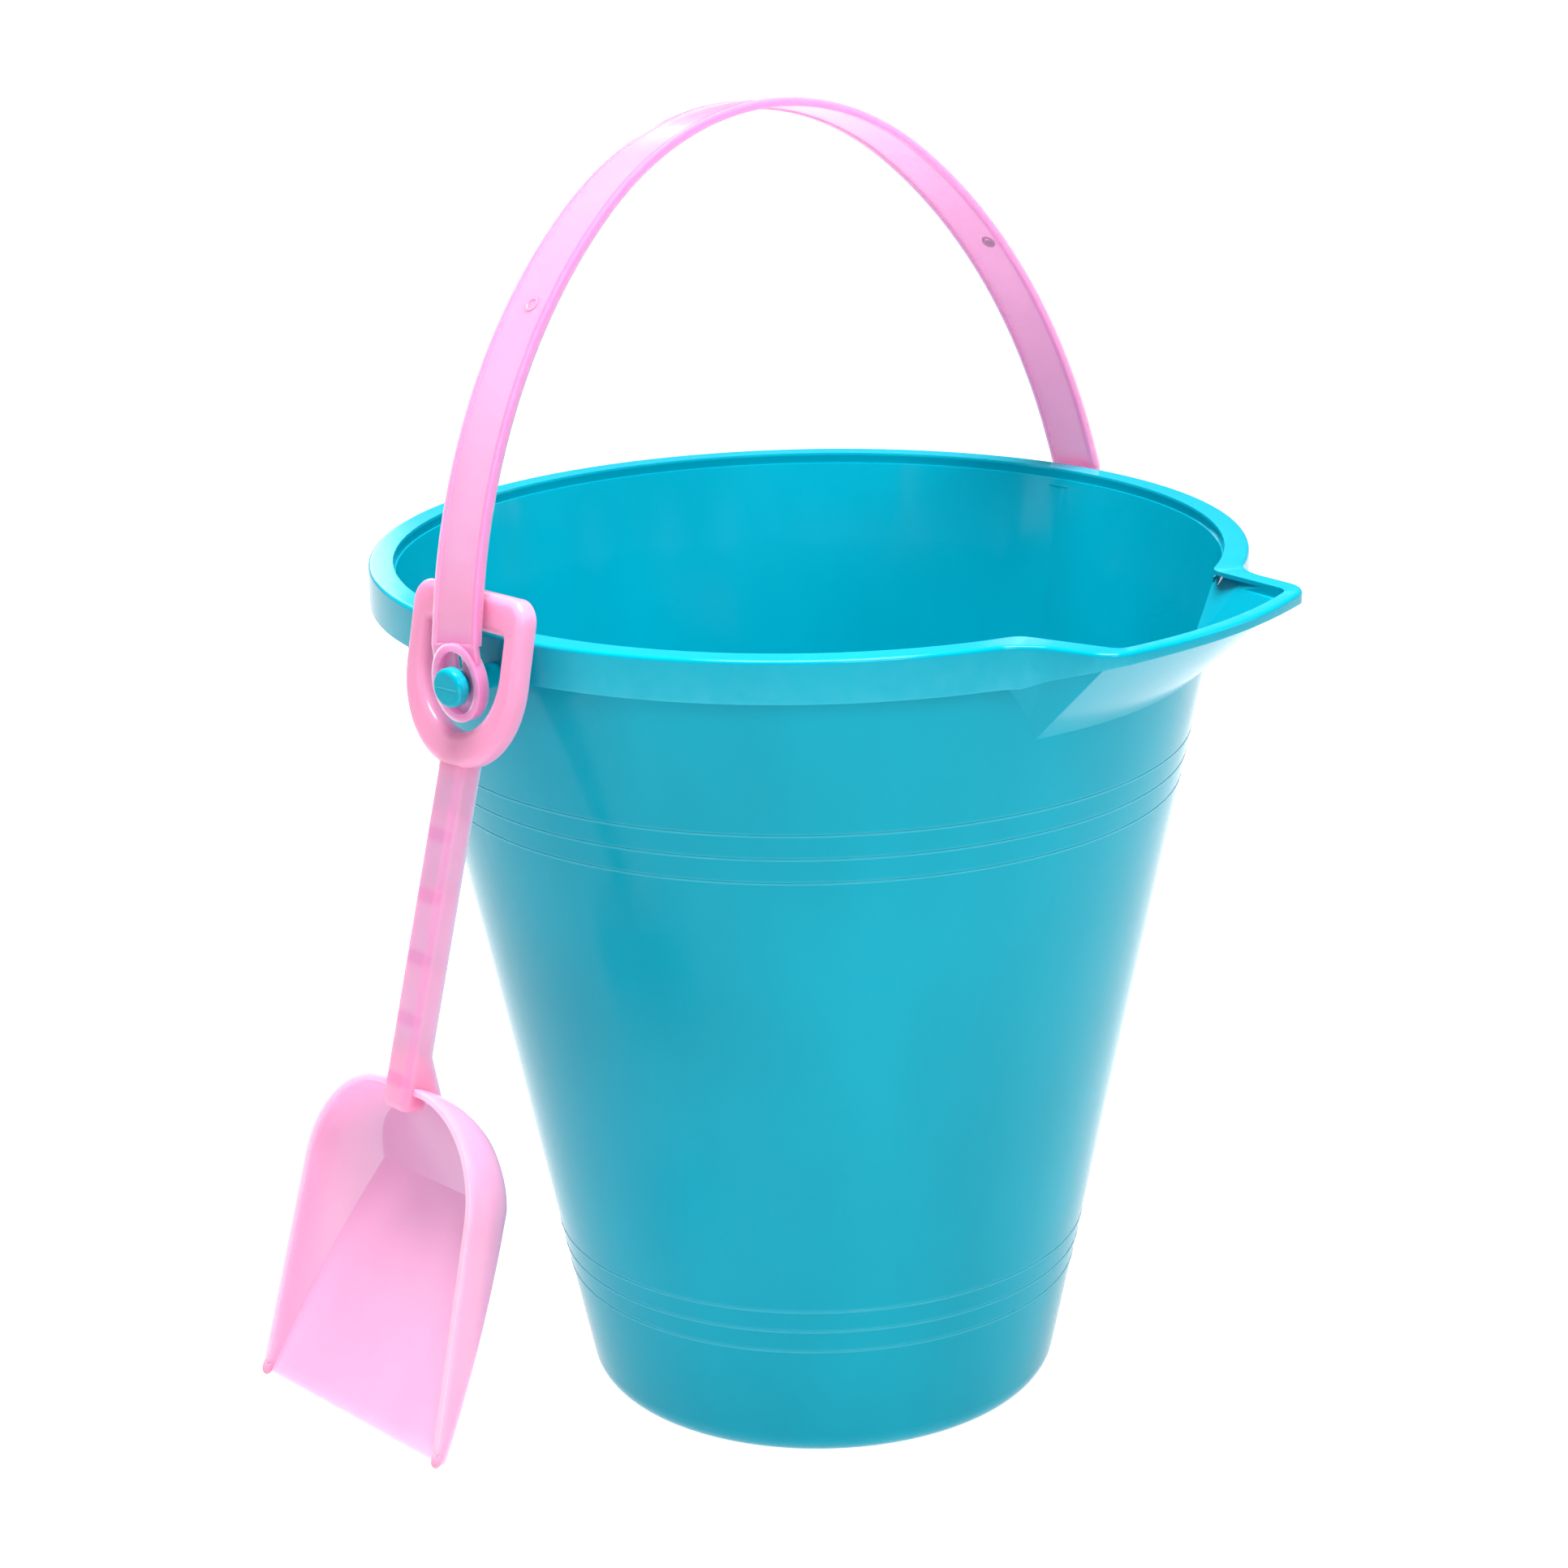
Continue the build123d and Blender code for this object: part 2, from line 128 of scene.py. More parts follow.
AIM = (0.0, 0.0, 0.12)
SHOVEL_TOP = (-0.08, 0.06, 0.2)
SOFT_BOXES = (              # name, place, aim, width, height, watts
    ("key_light", (-0.8, -1.3, 1.0), AIM, 0.45, 0.6, 7.5),
    ("left_light", (-1.5, 0.9, 0.7), AIM, 0.25, 1.0, 1.5),
    ("right_light", (1.3, -1.0, 0.7), AIM, 0.4, 1.2, 2.5),
    ("top_light", (-0.12, -0.12, 1.5), AIM, 0.7, 0.7, 44),
    ("rear_light", (0.72, 1.35, 0.62), SHOVEL_TOP, 0.55, 0.5, 3.5),
)
for soft_box_sizes in SOFT_BOXES:
    soft_box(*soft_box_sizes)
bpy.context.scene.view_settings.view_transform = "Standard"

# %% [markdown]
# ## Effects that both plastics share
# Moulded plastic is never one flat colour. The melt flows in faint clouds, the polished mould
# leaves a fine ripple, handling leaves hair-thin scuffs, and thin edges and corners catch
# more light. Each effect is built once as a node group with named sockets, and each
# plastic then sets its own amounts.

# %% Helpers for node groups
def start_group(name, inputs, outputs):
    """A shader node group with its sockets: the group, its input node and its output node."""
    group = bpy.data.node_groups.new(name, "ShaderNodeTree")
    for label, kind, value in inputs:
        socket = group.interface.new_socket(name=label, in_out="INPUT", socket_type=kind)
        if value is not None:
            socket.default_value = value
    for label, kind in outputs:
        group.interface.new_socket(name=label, in_out="OUTPUT", socket_type=kind)
    return group, group.nodes.new("NodeGroupInput"), group.nodes.new("NodeGroupOutput")


def add_math(tree, operation, first, second):
    """A Math node; each operand is a number or a socket."""
    node = tree.nodes.new("ShaderNodeMath")
    node.operation = operation
    for slot, operand in enumerate((first, second)):
        if isinstance(operand, (int, float)):
            node.inputs[slot].default_value = operand
        else:
            tree.links.new(operand, node.inputs[slot])
    return node.outputs[0]


def add_noise(tree, place, scale, detail, stretch=None):
    """A Noise node read at place, which a Mapping node can stretch first."""
    if stretch is not None:
        mapping = tree.nodes.new("ShaderNodeMapping")
        mapping.inputs["Scale"].default_value = stretch
        tree.links.new(place, mapping.inputs["Vector"])
        place = mapping.outputs["Vector"]
    noise = tree.nodes.new("ShaderNodeTexNoise")
    noise.inputs["Scale"].default_value = scale
    noise.inputs["Detail"].default_value = detail
    tree.links.new(place, noise.inputs["Vector"])
    return noise.outputs["Fac"]


def add_step(tree, value, empty, full, kind="LINEAR"):
    """0 where value is at empty, 1 where it is at full."""
    step = tree.nodes.new("ShaderNodeMapRange")
    step.interpolation_type = kind
    step.inputs["From Min"].default_value = empty
    step.inputs["From Max"].default_value = full
    tree.links.new(value, step.inputs["Value"])
    return step.outputs["Result"]


def add_mix(tree, factor, first, second):
    """The colour first where factor is 0, and second where it is 1."""
    mix = tree.nodes.new("ShaderNodeMix")
    mix.data_type = "RGBA"
    tree.links.new(factor, mix.inputs["Factor"])
    tree.links.new(first, mix.inputs["A"])
    tree.links.new(second, mix.inputs["B"])
    return mix.outputs["Result"]


def object_place(tree):
    """The surface point in the object's own coordinates."""
    return tree.nodes.new("ShaderNodeTexCoord").outputs["Object"]


print("helpers:", [tool.__name__ for tool in (start_group, add_math, add_noise, add_step, add_mix)])

# %% [markdown]
# ### Melt clouds
# Pigment and melt don't mix perfectly, so the colour drifts by a few percent over
# centimetres. Two noises of different size, one stretched along the flow, give the drift.

# %% Melt clouds group
CLOUD_SCALE = 14.0
STREAK_SCALE = 30.0
STREAK_STRETCH = (1.0, 1.0, 0.22)
CLOUD_DEEP, CLOUD_PALE = 0.36, 0.64      # noise values that give the two colours


def make_melt_clouds():
    group, given, result = start_group(
        "melt_clouds",
        [
            ("Deep", "NodeSocketColor", None),
            ("Pale", "NodeSocketColor", None),
            ("Amount", "NodeSocketFloat", 1.0),
        ],
        [("Color", "NodeSocketColor")],
    )
    place = object_place(group)
    broad = add_noise(group, place, CLOUD_SCALE, 3.0)
    streaks = add_noise(group, place, STREAK_SCALE, 2.0, stretch=STREAK_STRETCH)
    average = add_math(group, "MULTIPLY", add_math(group, "ADD", broad, streaks), 0.5)
    spread = add_step(group, average, CLOUD_DEEP, CLOUD_PALE)
    factor = add_math(group, "MULTIPLY", spread, given.outputs["Amount"])
    colour = add_mix(group, factor, given.outputs["Deep"], given.outputs["Pale"])
    group.links.new(colour, result.inputs["Color"])
    return group


melt_clouds = make_melt_clouds()
print("group:", melt_clouds.name)

# %% [markdown]
# ### Handling marks
# Toys rub against each other in the box. The scuffs are hair-thin and run in all directions.
# A very stretched noise, cut to its peaks, gives thin lines; two of them crossed at an
# angle look like handling rather than brushing. Specks stand for dust in the melt.

# %% Handling marks group
SCRATCH_SETS = ((0.6, 0.3, 70.0), (-0.9, 1.2, 55.0))     # turn about Z, turn about X, scale
SCRATCH_TILT = 0.2
SCRATCH_STRETCH = (1.0, 18.0, 1.0)
SCRATCH_PEAKS = (0.66, 0.74)
PATCH_SCALE = 22.0
PATCH_EDGES = (0.45, 0.62)
MOTTLE = 0.16
SCRATCH_ROUGHNESS = 0.22
SCRATCH_DEPTH = 0.4
RIPPLE_SCALE = 120.0
ORANGE_PEEL_SCALE = 900.0
ORANGE_PEEL_SHARE = 0.25


def make_handling_marks():
    group, given, result = start_group(
        "handling_marks",
        [("Scuffs", "NodeSocketFloat", 1.0), ("Ripple", "NodeSocketFloat", 1.0)],
        [("Roughness Added", "NodeSocketFloat"), ("Height", "NodeSocketFloat")],
    )
    place = object_place(group)
    lines = []
    for turn_z, turn_x, scale in SCRATCH_SETS:
        mapping = group.nodes.new("ShaderNodeMapping")
        mapping.inputs["Rotation"].default_value = (turn_x, SCRATCH_TILT, turn_z)
        mapping.inputs["Scale"].default_value = SCRATCH_STRETCH
        group.links.new(place, mapping.inputs["Vector"])
        noise = add_noise(group, mapping.outputs["Vector"], scale, 4.0)
        lines.append(add_step(group, noise, *SCRATCH_PEAKS))
    crossed = add_math(group, "MAXIMUM", lines[0], lines[1])
    patches = add_noise(group, place, PATCH_SCALE, 2.0)
    scuffs = add_math(group, "MULTIPLY", crossed, add_step(group, patches, *PATCH_EDGES))
    scuffs = add_math(group, "MULTIPLY", scuffs, given.outputs["Scuffs"])
    mottle = add_math(group, "MULTIPLY", add_math(group, "SUBTRACT", patches, 0.5), MOTTLE)
    rough = add_math(group, "ADD", add_math(group, "MULTIPLY", scuffs, SCRATCH_ROUGHNESS), mottle)
    ripple = add_noise(group, place, RIPPLE_SCALE, 2.0)
    orange_peel = add_noise(group, place, ORANGE_PEEL_SCALE, 2.0)
    waves = add_math(group, "ADD", ripple, add_math(group, "MULTIPLY", orange_peel, ORANGE_PEEL_SHARE))
    waves = add_math(group, "MULTIPLY", waves, given.outputs["Ripple"])
    height = add_math(group, "SUBTRACT", waves, add_math(group, "MULTIPLY", scuffs, SCRATCH_DEPTH))
    group.links.new(rough, result.inputs["Roughness Added"])
    group.links.new(height, result.inputs["Height"])
    return group


handling_marks = make_handling_marks()
print("group:", handling_marks.name)

# %% [markdown]
# ### Worn edges
# Corners are rubbed pale and a little dull first. Cycles knows how sharp the surface is at
# each point, as Pointiness, and a noise breaks the band up so that it isn't a drawn line.

# %% Worn edges group
EDGE_SHARPNESS = (0.52, 0.6)
EDGE_BREAK_SCALE = 260.0
EDGE_BREAK_LIFT = 0.25


def make_worn_edges():
    group, given, result = start_group(
        "worn_edges",
        [
            ("Color", "NodeSocketColor", None),
            ("Edge Color", "NodeSocketColor", None),
            ("Amount", "NodeSocketFloat", 0.5),
        ],
        [("Color", "NodeSocketColor"), ("Mask", "NodeSocketFloat")],
    )
    sharp = group.nodes.new("ShaderNodeNewGeometry").outputs["Pointiness"]
    band = add_step(group, sharp, *EDGE_SHARPNESS)
    broken = add_noise(group, object_place(group), EDGE_BREAK_SCALE, 3.0)
    broken = add_math(group, "ADD", broken, EDGE_BREAK_LIFT)
    mask = add_math(group, "MULTIPLY", band, broken)
    mask = add_math(group, "MULTIPLY", mask, given.outputs["Amount"])
    colour = add_mix(group, mask, given.outputs["Color"], given.outputs["Edge Color"])
    group.links.new(colour, result.inputs["Color"])
    group.links.new(mask, result.inputs["Mask"])
    return group


worn_edges = make_worn_edges()
print("group:", worn_edges.name)

# %% [markdown]
# ### Painted shade and highlights
# The milky plastic is painted a deeper pink where it is thick: along the strap's edge beads, in the
# eyelets, and where the stem's side walls and ribs stand behind its face. This is painted shade,
# standing in for the light that thicker plastic holds back. Each piece's own directions are needed
# to find those places. A Mapping node of the texture kind undoes the lean of the handle or the hang
# of the shovel, so that the tests become plain distances.

# %% Where the handle and the shovel hang
PEG_HEIGHT = 0.195
STRAP_LEAN = -7.1          # degrees about X
GRIP_PLACE = (-0.1054, 0.0032, 0.1945)
SHOVEL_LEAN = 13.0         # degrees about Y
SHOVEL_TURN = -98.4        # degrees about its own stem
STEM_BEND = -3.4           # degrees, just below the grip
BEND = Vector((0, 0, -0.017))
strap_place = Matrix.Translation((0, 0, PEG_HEIGHT)) @ Matrix.Rotation(radians(STRAP_LEAN), 4, "X")
shovel_place = (
    Matrix.Translation(GRIP_PLACE)
    @ Matrix.Rotation(radians(SHOVEL_LEAN), 4, "Y")
    @ Matrix.Rotation(radians(SHOVEL_TURN), 4, "Z")
    @ Matrix.Translation(BEND)
    @ Matrix.Rotation(radians(STEM_BEND), 4, "X")
    @ Matrix.Translation(-BEND)
)
print("shovel hangs at", [round(v, 4) for v in shovel_place.translation])

# %% [markdown]
# A helper reads the surface's place in a piece's own directions, and a second one
# turns a distance into a soft mask.

# %% Helpers for the painted shade and highlights
def own_place(tree, place_matrix):
    """X, Y and Z sockets of the surface point, in the piece's own directions."""
    mapping = tree.nodes.new("ShaderNodeMapping")
    mapping.vector_type = "TEXTURE"
    mapping.inputs["Location"].default_value = place_matrix.translation
    mapping.inputs["Rotation"].default_value = place_matrix.to_euler()
    tree.links.new(object_place(tree), mapping.inputs["Vector"])
    split = tree.nodes.new("ShaderNodeSeparateXYZ")
    tree.links.new(mapping.outputs["Vector"], split.inputs["Vector"])
    return split.outputs["X"], split.outputs["Y"], split.outputs["Z"]


def soft_step(tree, value, empty, full):
    """0 where value is at empty, 1 where it is at full, smooth between."""
    return add_step(tree, value, empty, full, kind="SMOOTHSTEP")


def deepen(group, given, result, mask):
    """Mix towards the second colour by mask, and send the result out."""
    factor = add_math(group, "MULTIPLY", mask, given.outputs["Amount"])
    colour = add_mix(group, factor, given.outputs["Color"], given.outputs["Deep Color"])
    group.links.new(colour, result.inputs["Color"])


DEEPEN_INPUTS = [
    ("Color", "NodeSocketColor", None),
    ("Deep Color", "NodeSocketColor", None),
    ("Amount", "NodeSocketFloat", 0.8),
]
print("helpers:", [tool.__name__ for tool in (own_place, soft_step, deepen)])

# %% [markdown]
# #### Strap edges and eyelets
# The strap's two edges carry a round bead, and each leg ends in a thick eyelet. Both get
# painted shade, a deeper pink, and are told by their distance from the strap's middle line and
# from the pegs.

# %% Strap bead shade group
BEAD_EDGES = (0.0049, 0.0056)      # distance from the strap's middle line
EYELET_TOP = (0.013, 0.006)        # height above the pegs


def make_strap_bead_shade():
    group, given, result = start_group("strap_bead_shade", DEEPEN_INPUTS, [("Color", "NodeSocketColor")])
    across_strap, height = own_place(group, strap_place)[1:]
    beads = soft_step(group, add_math(group, "ABSOLUTE", across_strap, 0.0), *BEAD_EDGES)
    eyelets = soft_step(group, height, *EYELET_TOP)
    # Painted shade: beads and eyelets are mixed towards the deeper pink.
    deepen(group, given, result, add_math(group, "MAXIMUM", beads, eyelets))
    return group


strap_bead_shade = make_strap_bead_shade()
print("group:", strap_bead_shade.name)

# %% [markdown]
# #### Stem walls and ribs
# The stem is a channel with four cross ribs. Its side walls and ribs stand behind the face, and
# their shade is painted on the face as deeper pink, so a mask follows the walls and another
# repeats with the ribs' pitch.

# %% Stem rib shade group
RIB_PITCH = 0.0132
CHANNEL_START = -0.020
RIB_EDGES = (0.17, 0.05)             # share of a pitch, from the rib's middle
FIRST_RIB = (0.4, 0.6)               # in pitches below the channel's start
CHANNEL_RANGE = (-0.2, 0.1, 5.2, 5.6)
WALL_EDGES = (0.0024, 0.0031)        # distance from the stem's middle line
STEM_EDGES = (0.0048, 0.0045)
FACE_DEPTH = (-0.0004, -0.0011)
WALL_SHARE = 0.6


def make_stem_rib_shade():
    group, given, result = start_group("stem_rib_shade", DEEPEN_INPUTS, [("Color", "NodeSocketColor")])
    sideways, depth, height = own_place(group, shovel_place)
    along = add_math(group, "DIVIDE", add_math(group, "SUBTRACT", CHANNEL_START, height), RIB_PITCH)
    ribs = soft_step(group, add_math(group, "PINGPONG", along, 0.5), *RIB_EDGES)
    ribs = add_math(group, "MULTIPLY", ribs, soft_step(group, along, *FIRST_RIB))
    offset = add_math(group, "ABSOLUTE", sideways, 0.0)
    walls = add_math(group, "MULTIPLY", soft_step(group, offset, *WALL_EDGES), WALL_SHARE)
    top_out, top_in, end_in, end_out = CHANNEL_RANGE
    stem = add_math(
        group, "MULTIPLY", soft_step(group, along, end_out, end_in), soft_step(group, along, top_out, top_in)
    )
    stem = add_math(group, "MULTIPLY", stem, soft_step(group, offset, *STEM_EDGES))
    stem = add_math(group, "MULTIPLY", stem, soft_step(group, depth, *FACE_DEPTH))
    # Painted shade: walls and ribs are mixed towards the deeper pink.
    deepen(group, given, result, add_math(group, "MULTIPLY", add_math(group, "MAXIMUM", ribs, walls), stem))
    return group


stem_rib_shade = make_stem_rib_shade()
print("group:", stem_rib_shade.name)

# %% [markdown]
# #### Painted highlights on the raised lines
# The fine raised lines round the bucket get a painted highlight: a paler turquoise band where their
# rounded edges would catch the light. Six heights, and a test that the surface faces away from the
# axis, keep the colour on the lines and off the inside.

# %% Line highlights group
LINE_HEIGHTS = (0.0299, 0.0354, 0.0408, 0.1507, 0.1564, 0.1620)
LINE_EDGES = (0.00065, 0.00035)      # distance from a line's middle
FAR_OFF = 1.0


def make_line_highlights():
    group, given, result = start_group("line_highlights", DEEPEN_INPUTS, [("Color", "NodeSocketColor")])
    height = own_place(group, Matrix.Identity(4))[2]
    nearest = FAR_OFF
    for line_height in LINE_HEIGHTS:
        gap = add_math(group, "ABSOLUTE", add_math(group, "SUBTRACT", height, line_height), 0.0)
        nearest = add_math(group, "MINIMUM", nearest, gap)
    on_line = soft_step(group, nearest, *LINE_EDGES)
    outward = group.nodes.new("ShaderNodeVectorMath")
    outward.operation = "DOT_PRODUCT"
    level = group.nodes.new("ShaderNodeMapping")
    level.inputs["Scale"].default_value = (1.0, 1.0, 0.0)
    group.links.new(object_place(group), level.inputs["Vector"])
    group.links.new(level.outputs["Vector"], outward.inputs[0])
    group.links.new(group.nodes.new("ShaderNodeTexCoord").outputs["Normal"], outward.inputs[1])
    facing_out = add_math(group, "GREATER_THAN", outward.outputs["Value"], 0.0)
    deepen(group, given, result, add_math(group, "MULTIPLY", on_line, facing_out))
    return group


line_highlights = make_line_highlights()
print("group:", line_highlights.name)

# %% [markdown]
# ## The two plastics
# Both are glossy polypropylene. Light enters it, scatters and comes out nearby, which is why
# thin parts glow: subsurface scattering gives that. The turquoise is dense and the pink
# is milky, so the pink scatters further. The pinks also get a faint painted glow, an emission in
# their pale colour that stands in for light shining through them. The shader's fixed values are
# set on the shader, and only what varies over the surface comes from the groups.

# %% Plastic maker
BUMP_STRENGTH = 0.12
BUMP_DISTANCE = 0.0004
EDGE_ROUGHNESS = 0.15
PLASTIC_IOR = 1.49
SCATTER_COLOURS = (1.0, 0.8, 0.9)    # red light goes furthest


def make_plastic(
    name, deep, pale, edge, roughness, scatter, reach, shine,
    cloud_amount, scuffs, ripple, edge_amount, glow=0.0,
):
    """One plastic: its colours, its gloss, how it scatters light, the amounts of the shared effects, and
    glow, a painted glow given by emission in the pale colour.
    """
    finish = bpy.data.materials.new(name)
    finish.use_nodes = True
    tree = finish.node_tree
    shader = tree.nodes["Principled BSDF"]
    clouds = tree.nodes.new("ShaderNodeGroup")
    clouds.node_tree = melt_clouds
    clouds.inputs["Deep"].default_value = (*deep, 1)
    clouds.inputs["Pale"].default_value = (*pale, 1)
    clouds.inputs["Amount"].default_value = cloud_amount
    edges = tree.nodes.new("ShaderNodeGroup")
    edges.node_tree = worn_edges
    edges.inputs["Edge Color"].default_value = (*edge, 1)
    edges.inputs["Amount"].default_value = edge_amount
    tree.links.new(clouds.outputs["Color"], edges.inputs["Color"])
    tree.links.new(edges.outputs["Color"], shader.inputs["Base Color"])
    marks = tree.nodes.new("ShaderNodeGroup")
    marks.node_tree = handling_marks
    marks.inputs["Scuffs"].default_value = scuffs
    marks.inputs["Ripple"].default_value = ripple
    rough = add_math(tree, "ADD", marks.outputs["Roughness Added"], roughness)
    rough = add_math(tree, "ADD", rough, add_math(tree, "MULTIPLY", edges.outputs["Mask"], EDGE_ROUGHNESS))
    tree.links.new(rough, shader.inputs["Roughness"])
    bump = tree.nodes.new("ShaderNodeBump")
    bump.inputs["Strength"].default_value = BUMP_STRENGTH
    bump.inputs["Distance"].default_value = BUMP_DISTANCE
    tree.links.new(marks.outputs["Height"], bump.inputs["Height"])
    tree.links.new(bump.outputs["Normal"], shader.inputs["Normal"])
    shader.inputs["IOR"].default_value = PLASTIC_IOR
    shader.inputs["Specular IOR Level"].default_value = shine
    shader.inputs["Subsurface Weight"].default_value = scatter
    shader.inputs["Subsurface Radius"].default_value = SCATTER_COLOURS
    shader.inputs["Subsurface Scale"].default_value = reach
    # Painted glow: emission in the pale colour stands in for light shining through the plastic.
    shader.inputs["Emission Color"].default_value = (*pale, 1)
    shader.inputs["Emission Strength"].default_value = glow
    return finish


def add_painted_tone(finish, group, painted_colour, amount):
    """Put a group that paints shade or a highlight just before the shader's colour."""
    tree = finish.node_tree
    colour_in = tree.nodes["Principled BSDF"].inputs["Base Color"]
    node = tree.nodes.new("ShaderNodeGroup")
    node.node_tree = group
    node.inputs["Deep Color"].default_value = (*painted_colour, 1)
    node.inputs["Amount"].default_value = amount
    tree.links.new(colour_in.links[0].from_socket, node.inputs["Color"])
    tree.links.new(node.outputs["Color"], colour_in)


TURQUOISE = {"deep": (0.0, 0.335, 0.455), "pale": (0.0, 0.40, 0.535), "edge": (0.10, 0.55, 0.68)}
PINK = {"deep": (0.70, 0.25, 0.41), "pale": (0.76, 0.32, 0.49), "edge": (0.86, 0.45, 0.60)}
# the deeper pink of the painted shade in thick places
SHADED_PINK = (0.72, 0.12, 0.36)
# the paler turquoise of the painted highlight on the raised lines
HIGHLIGHT_TURQUOISE = (0.10, 0.55, 0.68)

turquoise = make_plastic(
    "turquoise_plastic", **TURQUOISE,
    roughness=0.13, scatter=0.12, reach=0.003, shine=0.14,
    cloud_amount=0.8, scuffs=0.3, ripple=0.5, edge_amount=0.35,
)
# Painted highlight: the raised lines are mixed towards the paler turquoise.
add_painted_tone(turquoise, line_highlights, HIGHLIGHT_TURQUOISE, 0.26)
pinks = {}
# Each pink gets painted shade, a deeper pink, where its plastic is thick.
for wearer, group, shade_amount in (("handle", strap_bead_shade, 0.6), ("shovel", stem_rib_shade, 0.42)):
    pinks[wearer] = make_plastic(
        "pink_plastic_" + wearer, **PINK, roughness=0.2, scatter=1.0, reach=0.010, shine=0.4,
        # glow is a painted glow: a faint emission in the pale pink
        cloud_amount=0.8, scuffs=0.25, ripple=0.4, edge_amount=0.3, glow=0.07,
    )
    add_painted_tone(pinks[wearer], group, SHADED_PINK, shade_amount)
small_pink = make_plastic(
    "pink_plastic_small", **PINK, roughness=0.2, scatter=0.0, reach=0.001, shine=0.4,
    # glow is a painted glow, a little stronger on the small pieces
    cloud_amount=0.8, scuffs=0.1, ripple=0.2, edge_amount=0.1, glow=0.12,
)
print("finishes:", turquoise.name, pinks["handle"].name, pinks["shovel"].name)

# %% [markdown]
# ## Dress the measured pieces
# The measured solids already have the right shape, so they keep it and only take a finish.

# %% Assign the finishes
for node_name, finish in (("bucket", turquoise), ("handle", pinks["handle"]), ("shovel", pinks["shovel"])):
    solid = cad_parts[node_name]
    solid.data.materials.clear()
    solid.data.materials.append(finish)
    print(node_name, len(solid.data.polygons), "faces")

# %% [markdown]
# ## Small marks of the moulding
# Three kinds of small mark are left for a close look. Every one is modelled in edit mode from a
# primitive, then its place is put into its mesh, and it is hung on the body it belongs to.

# %% A helper that settles a small piece
def settle(name, body, slot, finish):
    """Name the active piece, put its place into its mesh, dress it and hang it on its body."""
    piece = bpy.context.object
    piece.name = name
    bpy.ops.object.transform_apply(location=True, rotation=True, scale=True)
    bpy.ops.object.mode_set(mode="EDIT")
    bpy.ops.mesh.select_all(action="SELECT")
    bpy.ops.mesh.normals_make_consistent(inside=False)
    bpy.ops.object.mode_set(mode="OBJECT")
    bpy.ops.object.shade_smooth_by_angle(angle=radians(35))
    piece.data.materials.append(finish)
    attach(piece, body)
    print(name, len(piece.data.polygons), "faces")
    return piece


print("helper:", settle.__name__)


# %% [markdown]
# ### Ejector marks on the strap
# A pin pushes the strap out of the mould and leaves a shallow round dish with a raised lip on
# each leg. A short cylinder's cap is inset and pressed in; its wall is then bevelled. A
# dished disc is quicker than cutting the strap, and the strap's own mesh stays whole.

# %% Ejector marks
MARK_RADIUS = 0.0017
MARK_HEIGHT = 0.0005
MARK_LIP = 0.00045
MARK_SLOPE = 0.00020
MARK_DEPTH = 0.00022
MARK_BEVEL = 0.00006
NEAR_MARK = (-0.07650, 0.00836, 0.26882)
NEAR_FACING = (-0.731, 0.084, 0.677)
FAR_MARK = (0.07356, 0.00572, 0.26194)
FAR_FACING = (-0.781, -0.077, -0.620)


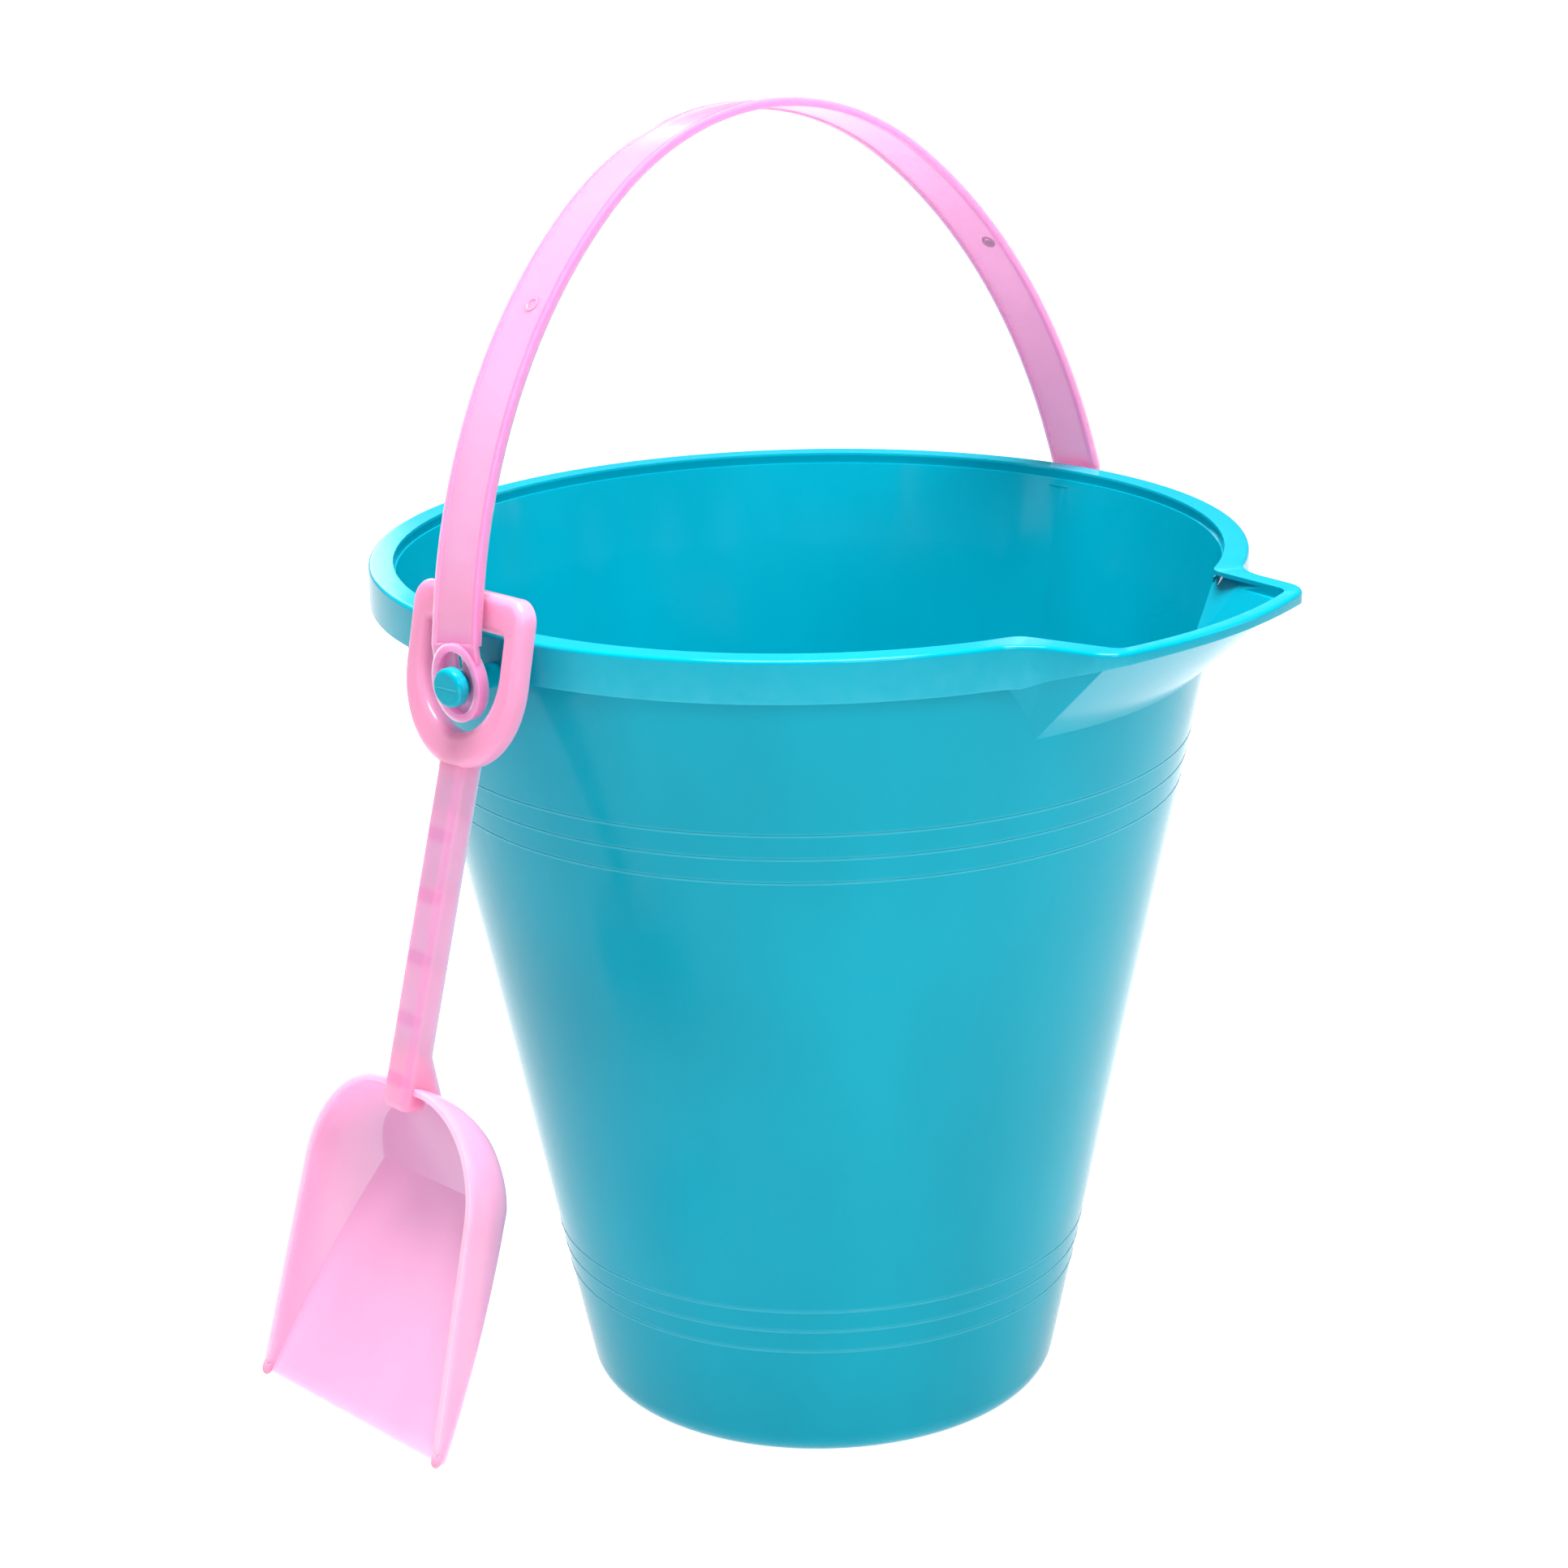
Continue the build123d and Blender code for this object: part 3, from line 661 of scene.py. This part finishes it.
def make_ejector_mark(name, place, facing):
    clear_selection()
    turned = Vector(facing).to_track_quat("Z", "Y").to_euler()
    bpy.ops.mesh.primitive_cylinder_add(
        vertices=48, radius=MARK_RADIUS, depth=MARK_HEIGHT, location=place, rotation=turned
    )
    mesh = bpy.context.object.data
    cap = max(mesh.polygons, key=lambda face: face.center.z)
    for part in (mesh.vertices, mesh.edges, mesh.polygons):
        part.foreach_set("select", [False] * len(part))
    cap.select = True
    bpy.ops.object.mode_set(mode="EDIT")
    bpy.ops.mesh.select_mode(type="FACE")
    bpy.ops.mesh.inset(thickness=MARK_LIP)
    bpy.ops.mesh.inset(thickness=MARK_SLOPE, depth=-MARK_DEPTH)
    bpy.ops.mesh.select_all(action="SELECT")
    bpy.ops.mesh.bevel(offset=MARK_BEVEL, segments=2, affect="EDGES")
    bpy.ops.object.mode_set(mode="OBJECT")
    return settle(name, "handle", "handle_plastic", small_pink)


make_ejector_mark("ejector_mark_near", NEAR_MARK, NEAR_FACING)
make_ejector_mark("ejector_mark_far", FAR_MARK, FAR_FACING)

# %% [markdown]
# ### Parting lines on the pegs
# The two halves of the mould meet across each peg's head and leave a fine raised line. It
# is a long thin block with bevelled edges, sunk half into the head.

# %% Peg parting lines
PEG_FACE = 0.1142
LINE_SUNK = 0.0001
LINE_SIZE = (0.0004, 0.0066, 0.0003)
LINE_BEVEL = 0.00009
for side, peg_name in ((-1, "peg_line_near"), (1, "peg_line_far")):
    clear_selection()
    bpy.ops.mesh.primitive_cube_add(size=1.0, location=(side * (PEG_FACE - LINE_SUNK), 0, PEG_HEIGHT))
    bpy.context.object.scale = LINE_SIZE
    bpy.ops.object.transform_apply(location=False, rotation=False, scale=True)
    bpy.ops.object.mode_set(mode="EDIT")
    bpy.ops.mesh.select_all(action="SELECT")
    bpy.ops.mesh.bevel(offset=LINE_BEVEL, segments=3, affect="EDGES")
    bpy.ops.object.mode_set(mode="OBJECT")
    settle(peg_name, "bucket", "bucket_plastic", turquoise)

# %% [markdown]
# ### Nubs at the scoop's tip
# The rounded lip of each side wall runs past the tip's edge and ends in a small nub. A sphere
# stretched along the wall and turned with the shovel gives it.

# %% Scoop tip nubs
TIP_HALF_WIDTH = 0.0323
TIP_HEIGHT = -0.1592
TIP_BACK = 0.0008
NUB_RADIUS = 0.0012
NUB_STRETCH = (0.9, 1.0, 1.45)
for side, nub_name in ((-1, "tip_nub_left"), (1, "tip_nub_right")):
    clear_selection()
    place = shovel_place @ Vector((side * TIP_HALF_WIDTH, TIP_BACK, TIP_HEIGHT))
    bpy.ops.mesh.primitive_uv_sphere_add(segments=32, ring_count=16, radius=NUB_RADIUS, location=place)
    bpy.context.object.rotation_euler = shovel_place.to_euler()
    bpy.context.object.scale = NUB_STRETCH
    settle(nub_name, "shovel", "shovel_plastic", small_pink)
